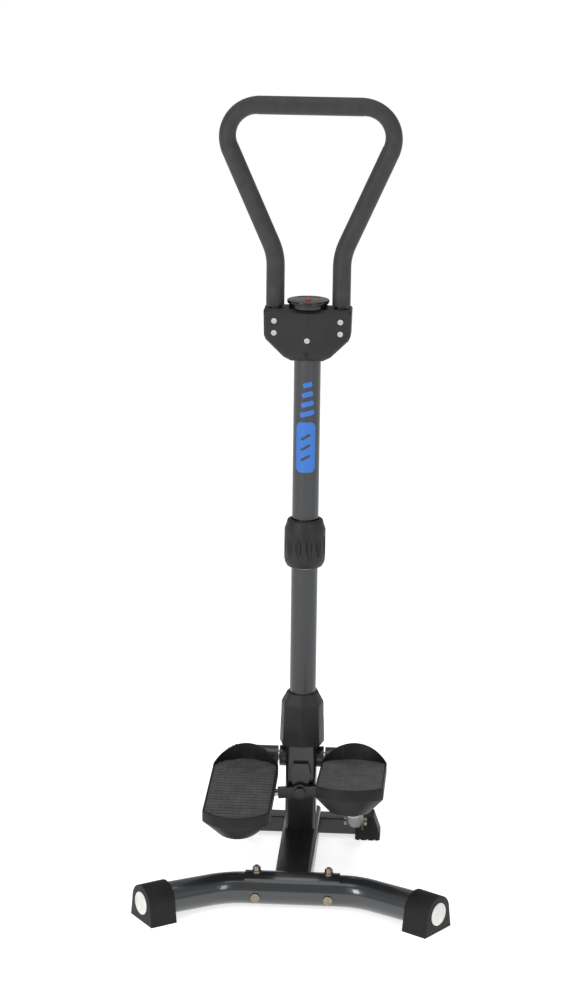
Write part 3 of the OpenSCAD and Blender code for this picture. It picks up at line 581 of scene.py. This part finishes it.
elastomer, tree = material_tree("grey_thermoplastic_elastomer")
place = add(tree, "TexCoord").outputs["Object"]
grain = add(tree, "TexNoise", {"Vector": place, "Scale": 900.0, "Detail": 3.0})
scuff = add(tree, "TexNoise", {"Vector": place, "Scale": 45.0, "Detail": 5.0})
tone = add(tree, "ValToRGB", {"Fac": scuff.outputs["Fac"]})
tone.color_ramp.elements[0].position = 0.35
tone.color_ramp.elements[0].color = linear("#3E3C3D")
tone.color_ramp.elements[1].position = 0.75
tone.color_ramp.elements[1].color = linear("#524F50")
swell = add(tree, "Bump", {"Height": grain.outputs["Fac"], "Strength": 0.4, "Distance": 0.00012})
skin = add(tree, "BsdfPrincipled", {
    "Base Color": tone.outputs["Color"],
    "Roughness": 0.6,
    "Normal": swell.outputs["Normal"],
})
add(tree, "OutputMaterial", {"Surface": skin.outputs["BSDF"]})
for side in ("left", "right"):
    mat = tread(side + "_tread")
    set_down(mat, side)
    paint(mat, elastomer)
    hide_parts(side + "_pedal_tread")
    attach(mat, side + "_pedal")


def climb(steps, stretch):
    """Extrudes the selected face up round the column, through pairs of height and radius."""
    last_h, last_r = steps[0]
    for height, radius in steps[1:]:
        push(z=(height - last_h) * stretch)
        grow = radius / last_r
        bpy.ops.transform.resize(value=(grow, grow, 1), center_override=(0, column_y, 0))
        last_h, last_r = height, radius
    bpy.ops.mesh.select_all(action="SELECT")
    bpy.ops.mesh.normals_make_consistent(inside=False)


# The twist collar: a glass-filled nylon nut that squeezes the column's joint when it is turned.
# Its waist has twelve wide lobes with rounded grooves between. Under it shows the lip of the split bush,
# a pale ring whose white is a painted highlight.
collar_low, collar_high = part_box("twist_collar")
COLLAR_R = 0.033
COLLAR_STEPS = (
    (0.0, 0.0285), (0.006, 0.0318), (0.012, COLLAR_R), (0.058, COLLAR_R), (0.066, 0.0300),
    (0.072, 0.0285), (0.074, 0.0250),
)
GROOVES = 12
GROOVE_R = 0.0042
GROOVE_STRETCH = 4.2
GROOVE_OUT = 0.0012
GROOVE_UP = 0.036
COLLAR_BORE_R = 0.0222
BORE_L = 0.2
RING_R = 0.0220
RING_WIRE_R = 0.0012
RING_DOWN = 0.0008
collar_h = collar_high.z - collar_low.z
bpy.ops.object.select_all(action="DESELECT")
bpy.ops.mesh.primitive_circle_add(
    vertices=96, radius=COLLAR_STEPS[0][1], fill_type="NGON", location=(0, column_y, collar_low.z)
)
collar = bpy.context.object
collar.name = "collar_nut"
apply_place()
bpy.ops.object.mode_set(mode="EDIT")
bpy.ops.mesh.select_all(action="SELECT")
climb(COLLAR_STEPS, collar_h / COLLAR_STEPS[-1][0])
bpy.ops.object.mode_set(mode="OBJECT")
for i in range(GROOVES):
    turn = (i + 0.5) * 2 * math.pi / GROOVES
    bpy.ops.object.select_all(action="DESELECT")
    bpy.ops.mesh.primitive_uv_sphere_add(segments=24, ring_count=16, radius=GROOVE_R)
    groove = bpy.context.object
    groove.scale = (1, 1, GROOVE_STRETCH)
    out = COLLAR_R + GROOVE_OUT
    groove.location = (
        out * math.sin(turn), column_y - out * math.cos(turn), collar_low.z + GROOVE_UP
    )
    apply_place()
    cut(collar, groove)
bpy.ops.object.select_all(action="DESELECT")
bpy.ops.mesh.primitive_cylinder_add(
    vertices=64, radius=COLLAR_BORE_R, depth=BORE_L, location=(0, column_y, collar_low.z)
)
apply_place()
cut(collar, bpy.context.object)
machined(
    collar, "BEVEL", width=0.0009, segments=3, limit_method="ANGLE", angle_limit=math.radians(30),
    use_clamp_overlap=False,
)
only(collar)
bpy.ops.object.shade_smooth_by_angle(angle=math.radians(35))
paint(collar, moulded)
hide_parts("twist_collar")
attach(collar, "collar")

# The pale ring under the collar, which is the lip of the split bush inside it. Its white colour is a
# painted highlight that stands in for the bright line of light along the lip.
bpy.ops.object.select_all(action="DESELECT")
bpy.ops.mesh.primitive_torus_add(
    major_segments=64, minor_segments=12, major_radius=RING_R, minor_radius=RING_WIRE_R,
    location=(0, column_y, collar_low.z - RING_DOWN),
)
lip_highlight_ring = bpy.context.object
lip_highlight_ring.name = "split_ring_painted_highlight"
apply_place()
bpy.ops.object.shade_smooth()

# The post sleeve: a moulded cover over the top of the post, with a ridge down each face and a
# shoulder that slopes in to the tube.
sleeve_low, sleeve_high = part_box("post_sleeve")
sleeve_r = (sleeve_high.x - sleeve_low.x) / 2
sleeve_h = sleeve_high.z - sleeve_low.z
SLEEVE_STEPS = ((0.0, 1.0), (0.46, 0.965), (0.50, 0.955), (0.80, 0.94), (0.97, 0.73), (1.0, 0.70))
CORNER_OUT = 1.14
bpy.ops.object.select_all(action="DESELECT")
bpy.ops.mesh.primitive_circle_add(
    vertices=8, radius=sleeve_r, fill_type="NGON", location=(0, column_y, sleeve_low.z)
)
sleeve = bpy.context.object
sleeve.name = "sleeve_cover"
apply_place()
bpy.ops.object.mode_set(mode="EDIT")
pick(
    sleeve,
    lambda spot, normal: abs(spot.x) > sleeve_r / 3 and abs(spot.y - column_y) > sleeve_r / 3,
    "verts",
)
bpy.ops.transform.resize(
    value=(CORNER_OUT, CORNER_OUT, 1), center_override=(0, column_y, sleeve_low.z)
)
bpy.ops.mesh.select_mode(type="FACE")
bpy.ops.mesh.select_all(action="SELECT")
climb(SLEEVE_STEPS, sleeve_h)
bpy.ops.object.mode_set(mode="OBJECT")
machined(
    sleeve, "BEVEL", width=0.0016, segments=3, limit_method="ANGLE",
    angle_limit=math.radians(12),
)
only(sleeve)
bpy.ops.object.shade_smooth_by_angle(angle=math.radians(35))
paint(sleeve, moulded)
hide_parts("post_sleeve")
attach(sleeve, "root")

# The transfer on the upper tube: blue vinyl film, a rounded panel with three slanted strokes
# let into it and four slanted bars above. It is cut flat and then rolled on to the tube.
label_low, label_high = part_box("tube_label")
TUBE_R = 0.0212
FILM_T = 0.00025
STROKE_LEAN = math.radians(30)
PANEL_W = 0.033
PANEL_H = label_high.z - label_low.z
CORNER_SHARE = 0.28
STROKES = 3
STROKE_W = 0.0042
STROKE_L = 0.017
STROKE_CUT = 0.004
BARS = 4
BAR_W = 0.024
BAR_SHORTER = 0.003
BAR_H = 0.008
BAR_X = 0.002
BAR_FIRST = 0.014
BAR_STEP = 0.0155
FACET_W = 0.0015
FACETS = 11


def flat_bar(name, width, height, x, z, lean=0.0, thick=FILM_T):
    """A flat bar of film in the XZ plane, with its back at Y 0, rounded at its corners."""
    bpy.ops.object.select_all(action="DESELECT")
    bpy.ops.mesh.primitive_plane_add(size=1, location=(0, 0, 0), rotation=(math.pi / 2, 0, 0))
    bar = bpy.context.object
    bar.name = name
    bar.scale = (width, height, 1)
    apply_place()
    bpy.ops.object.mode_set(mode="EDIT")
    bpy.ops.mesh.select_all(action="SELECT")
    rounding = min(width, height) * CORNER_SHARE
    bpy.ops.mesh.bevel(offset=rounding, segments=6, affect="VERTICES")
    bpy.ops.mesh.select_all(action="SELECT")
    push(y=-thick)
    bpy.ops.mesh.select_all(action="SELECT")
    bpy.ops.mesh.normals_make_consistent(inside=False)
    bpy.ops.object.mode_set(mode="OBJECT")
    bar.matrix_world = Matrix.Translation((x, 0, z)) @ Matrix.Rotation(lean, 4, "Y")
    only(bar)
    apply_place()
    return bar


film = flat_bar("label_film", PANEL_W, PANEL_H, 0, 0)
for i in range(STROKES):
    up = STROKE_L * (i - (STROKES - 1) / 2)
    stroke = flat_bar("stroke", STROKE_W, STROKE_L, 0, up, STROKE_LEAN * 2, STROKE_CUT)
    stroke.location.y = STROKE_CUT / 2
    only(stroke)
    apply_place()
    cut(film, stroke)
bars = []
for i in range(BARS):
    up = PANEL_H / 2 + BAR_FIRST + BAR_STEP * i
    bars.append(flat_bar("bar", BAR_W - BAR_SHORTER * i, BAR_H, BAR_X, up, -STROKE_LEAN / 2))
bpy.ops.object.select_all(action="DESELECT")
for piece in bars + [film]:
    piece.select_set(True)
bpy.context.view_layer.objects.active = film
bpy.ops.object.join()
bpy.ops.object.mode_set(mode="EDIT")
for i in range(-FACETS, FACETS + 1):
    bpy.ops.mesh.select_all(action="SELECT")
    bpy.ops.mesh.bisect(plane_co=(i * FACET_W, 0, 0), plane_no=(1, 0, 0))
bpy.ops.object.mode_set(mode="OBJECT")
middle_z = (label_low.z + label_high.z) / 2
for vertex in film.data.vertices:
    x, y, z = vertex.co
    turn = x / TUBE_R
    out = TUBE_R - y
    vertex.co = (out * math.sin(turn), column_y - out * math.cos(turn), z + middle_z)
only(film)
bpy.ops.object.shade_smooth_by_angle(angle=math.radians(30))

vinyl, tree = material_tree("blue_vinyl_film")
place = add(tree, "TexCoord").outputs["Object"]
print_grain = add(tree, "TexNoise", {"Vector": place, "Scale": 500.0, "Detail": 2.0})
tone = add(tree, "ValToRGB", {"Fac": print_grain.outputs["Fac"]})
tone.color_ramp.elements[0].color = linear("#0759AD")
tone.color_ramp.elements[1].color = linear("#0F6CC4")
skin = add(tree, "BsdfPrincipled", {
    "Base Color": tone.outputs["Color"],
    "Roughness": 0.35,
    "Coat Weight": 0.4,
    "Coat Roughness": 0.12,
})
add(tree, "OutputMaterial", {"Surface": skin.outputs["BSDF"]})
paint(film, vinyl)
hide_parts("tube_label")
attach(film, "column")

# The counter on the bracket: a puck of gloss black ABS with a domed rim, a dark window and a
# red silicone button. The steps are counted inside it.
puck_low, puck_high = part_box("console_body")
window_low, window_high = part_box("console_window")
button_low, button_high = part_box("console_button")
RIM_H = 0.005
NECK_R = 0.0305
WINDOW_ROOM = 0.0002
WINDOW_CUT_H = 0.01
BUTTON_ROOM = 0.0003
BUTTON_CUT_H = 0.02
rim_r = (puck_high.x - puck_low.x) / 2
bpy.ops.object.select_all(action="DESELECT")
bpy.ops.mesh.primitive_cylinder_add(
    vertices=96, radius=rim_r, depth=RIM_H, location=(0, column_y, puck_high.z - RIM_H / 2)
)
puck = bpy.context.object
puck.name = "counter_puck"
apply_place()
bpy.ops.object.mode_set(mode="EDIT")
pick(puck, lambda spot, normal: normal.z < -0.9)
bpy.ops.mesh.inset(thickness=rim_r - NECK_R)
push(z=puck_low.z - puck_high.z + RIM_H)
bpy.ops.object.mode_set(mode="OBJECT")
machined(
    puck, "BEVEL", width=0.0019, segments=4, limit_method="ANGLE", angle_limit=math.radians(60)
)
bpy.ops.object.select_all(action="DESELECT")
span = window_high - window_low
middle = (window_low + window_high) / 2
bpy.ops.mesh.primitive_cube_add(
    size=1, location=(middle.x, middle.y, window_low.z + WINDOW_CUT_H / 2)
)
well = bpy.context.object
well.scale = (span.x + 2 * WINDOW_ROOM, span.y + 2 * WINDOW_ROOM, WINDOW_CUT_H)
apply_place()
cut(puck, well)
bpy.ops.object.select_all(action="DESELECT")
span = button_high - button_low
middle = (button_low + button_high) / 2
bpy.ops.mesh.primitive_cylinder_add(
    vertices=48, radius=span.x / 2 + BUTTON_ROOM, depth=BUTTON_CUT_H,
    location=(middle.x, middle.y, puck_high.z),
)
apply_place()
cut(puck, bpy.context.object)
only(puck)
bpy.ops.object.shade_smooth_by_angle(angle=math.radians(30))
piano, tree = material_tree("gloss_black_abs")
place = add(tree, "TexCoord").outputs["Object"]
smear = add(tree, "TexNoise", {"Vector": place, "Scale": 120.0, "Detail": 4.0})
dull = add(tree, "MapRange", {"Value": smear.outputs["Fac"], "To Min": 0.08, "To Max": 0.22})
skin = add(tree, "BsdfPrincipled", {
    "Base Color": linear("#0E0E10"),
    "Roughness": dull.outputs["Result"],
})
add(tree, "OutputMaterial", {"Surface": skin.outputs["BSDF"]})
paint(puck, piano)
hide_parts("console_body")
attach(puck, "column")

window, tree = material_tree("smoked_polycarbonate_window")
place = add(tree, "TexCoord").outputs["Object"]
shade = add(tree, "TexNoise", {"Vector": place, "Scale": 90.0, "Detail": 1.0})
tone = add(tree, "ValToRGB", {"Fac": shade.outputs["Fac"]})
tone.color_ramp.elements[0].color = linear("#0A0C0E")
tone.color_ramp.elements[1].color = linear("#161A1D")
skin = add(tree, "BsdfPrincipled", {
    "Base Color": tone.outputs["Color"],
    "Roughness": 0.06,
    "IOR": 1.58,
})
add(tree, "OutputMaterial", {"Surface": skin.outputs["BSDF"]})
coat(["console_window"], window)

silicone, tree = material_tree("red_silicone_rubber")
place = add(tree, "TexCoord").outputs["Object"]
frost = add(tree, "TexNoise", {"Vector": place, "Scale": 800.0, "Detail": 2.0})
tone = add(tree, "ValToRGB", {"Fac": frost.outputs["Fac"]})
tone.color_ramp.elements[0].color = linear("#B02028")
tone.color_ramp.elements[1].color = linear("#D2323C")
skin = add(tree, "BsdfPrincipled", {
    "Base Color": tone.outputs["Color"],
    "Roughness": 0.42,
    "Subsurface Weight": 0.05,
})
add(tree, "OutputMaterial", {"Surface": skin.outputs["BSDF"]})
coat(["console_button"], silicone)

# Circuit board inside the counter: green solder mask over glass-epoxy.
board, tree = material_tree("green_solder_mask")
place = add(tree, "TexCoord").outputs["Object"]
weave = add(tree, "TexNoise", {"Vector": place, "Scale": 700.0, "Detail": 2.0})
tone = add(tree, "ValToRGB", {"Fac": weave.outputs["Fac"]})
tone.color_ramp.elements[0].color = linear("#0B3B22")
tone.color_ramp.elements[1].color = linear("#12532F")
skin = add(tree, "BsdfPrincipled", {"Base Color": tone.outputs["Color"], "Roughness": 0.3})
add(tree, "OutputMaterial", {"Surface": skin.outputs["BSDF"]})
coat(["console_board"], board)

# White plastic: the reflector discs in the end caps, and the nylon bushes and guide.
white, tree = material_tree("white_nylon")
place = add(tree, "TexCoord").outputs["Object"]
cloud = add(tree, "TexNoise", {"Vector": place, "Scale": 80.0, "Detail": 4.0})
tone = add(tree, "ValToRGB", {"Fac": cloud.outputs["Fac"]})
tone.color_ramp.elements[0].position = 0.3
tone.color_ramp.elements[0].color = linear("#D2D2CD")
tone.color_ramp.elements[1].position = 0.7
tone.color_ramp.elements[1].color = linear("#E4E4E0")
skin = add(tree, "BsdfPrincipled", {"Base Color": tone.outputs["Color"], "Roughness": 0.45})
add(tree, "OutputMaterial", {"Surface": skin.outputs["BSDF"]})
coat(["guide_bush", "left_pedal_bushes", "right_pedal_bushes"], white)
# The ring's white is a painted highlight along the bush's lip.
paint(lip_highlight_ring, white)
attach(lip_highlight_ring, "root")

# Rubber feet and end caps: moulded black rubber-filled plastic, dull, with a little bloom.
rubber, tree = material_tree("moulded_black_rubber")
place = add(tree, "TexCoord").outputs["Object"]
grain = add(tree, "TexNoise", {"Vector": place, "Scale": 1000.0, "Detail": 3.0})
bloom = add(tree, "TexNoise", {"Vector": place, "Scale": 30.0, "Detail": 5.0})
tone = add(tree, "ValToRGB", {"Fac": bloom.outputs["Fac"]})
tone.color_ramp.elements[0].position = 0.3
tone.color_ramp.elements[0].color = linear("#121111")
tone.color_ramp.elements[1].position = 0.75
tone.color_ramp.elements[1].color = linear("#1A1818")
swell = add(tree, "Bump", {"Height": grain.outputs["Fac"], "Strength": 0.4, "Distance": 0.00012})
skin = add(tree, "BsdfPrincipled", {
    "Base Color": tone.outputs["Color"],
    "Roughness": 0.55,
    "Specular IOR Level": 0.25,
    "Normal": swell.outputs["Normal"],
})
add(tree, "OutputMaterial", {"Surface": skin.outputs["BSDF"]})
coat(["front_foot_left", "front_foot_right"], rubber)

# The end caps: boots of the same rubber over the bent ends of the base tube, arched over the
# tube and flared to a flat sole. Each has a white disc pressed into its end.
CAP_R = 0.029
CAP_FLARE = 0.034
CAP_L = 0.045
CAP_TURN = math.radians(35)
TUBE_Z = 0.030
DISC_R = 0.0182
DISC_T = 0.004
DISC_OUT = 0.0012
discs = []
for side in ("left", "right"):
    way = -1 if side == "left" else 1
    low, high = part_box("rear_cap_" + side)
    end_x = (high.x if way > 0 else -low.x) - CAP_R * math.sin(CAP_TURN)
    end_y = low.y + CAP_R * math.cos(CAP_TURN)
    stand = Matrix.Translation((way * end_x, end_y, TUBE_Z))
    stand = stand @ Matrix.Rotation(way * (math.pi / 2 - CAP_TURN), 4, "Z")
    bpy.ops.object.select_all(action="DESELECT")
    bpy.ops.mesh.primitive_cylinder_add(
        vertices=96, radius=CAP_R, depth=CAP_L, location=(0, CAP_L / 2, 0),
        rotation=(math.pi / 2, 0, 0),
    )
    boot = bpy.context.object
    boot.name = side + "_boot"
    apply_place()
    bpy.ops.object.mode_set(mode="EDIT")
    pick(boot, lambda spot, normal: spot.z < -1e-5, "verts")
    bpy.ops.transform.resize(value=(CAP_FLARE / CAP_R, 1, 0), center_override=(0, 0, 0))
    bpy.ops.transform.translate(value=(0, 0, -TUBE_Z))
    bpy.ops.object.mode_set(mode="OBJECT")
    machined(
        boot, "BEVEL", width=0.0025, segments=4, limit_method="ANGLE",
        angle_limit=math.radians(50),
    )
    boot.matrix_world = stand
    only(boot)
    apply_place()
    bpy.ops.object.shade_smooth_by_angle(angle=math.radians(35))
    paint(boot, rubber)
    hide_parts("rear_cap_" + side)
    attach(boot, "root")
    bpy.ops.object.select_all(action="DESELECT")
    bpy.ops.mesh.primitive_cylinder_add(
        vertices=64, radius=DISC_R, depth=DISC_T, location=(0, DISC_T / 2 - DISC_OUT, 0),
        rotation=(math.pi / 2, 0, 0),
    )
    disc = bpy.context.object
    apply_place()
    machined(
        disc, "BEVEL", width=0.0008, segments=3, limit_method="ANGLE",
        angle_limit=math.radians(50),
    )
    disc.matrix_world = stand
    only(disc)
    apply_place()
    bpy.ops.object.shade_smooth_by_angle(angle=math.radians(35))
    paint(disc, white)
    discs.append(disc)
only(discs[0])
discs[1].select_set(True)
bpy.ops.object.join()
pair = bpy.context.object
pair.name = "disc_pair"
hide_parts("cap_discs")
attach(pair, "root")

# Damper cylinders: drawn steel, sprayed satin grey, with light runs of orange peel.
damper, tree = material_tree("satin_grey_paint")
place = add(tree, "TexCoord").outputs["Object"]
peel = add(tree, "TexNoise", {"Vector": place, "Scale": 500.0, "Detail": 2.0})
tone = add(tree, "ValToRGB", {"Fac": peel.outputs["Fac"]})
tone.color_ramp.elements[0].color = linear("#4A4A4C")
tone.color_ramp.elements[1].color = linear("#565658")
swell = add(tree, "Bump", {"Height": peel.outputs["Fac"], "Strength": 0.2, "Distance": 0.0001})
skin = add(tree, "BsdfPrincipled", {
    "Base Color": tone.outputs["Color"],
    "Roughness": 0.4,
    "Normal": swell.outputs["Normal"],
})
add(tree, "OutputMaterial", {"Surface": skin.outputs["BSDF"]})
coat(["left_damper_body", "right_damper_body"], damper)
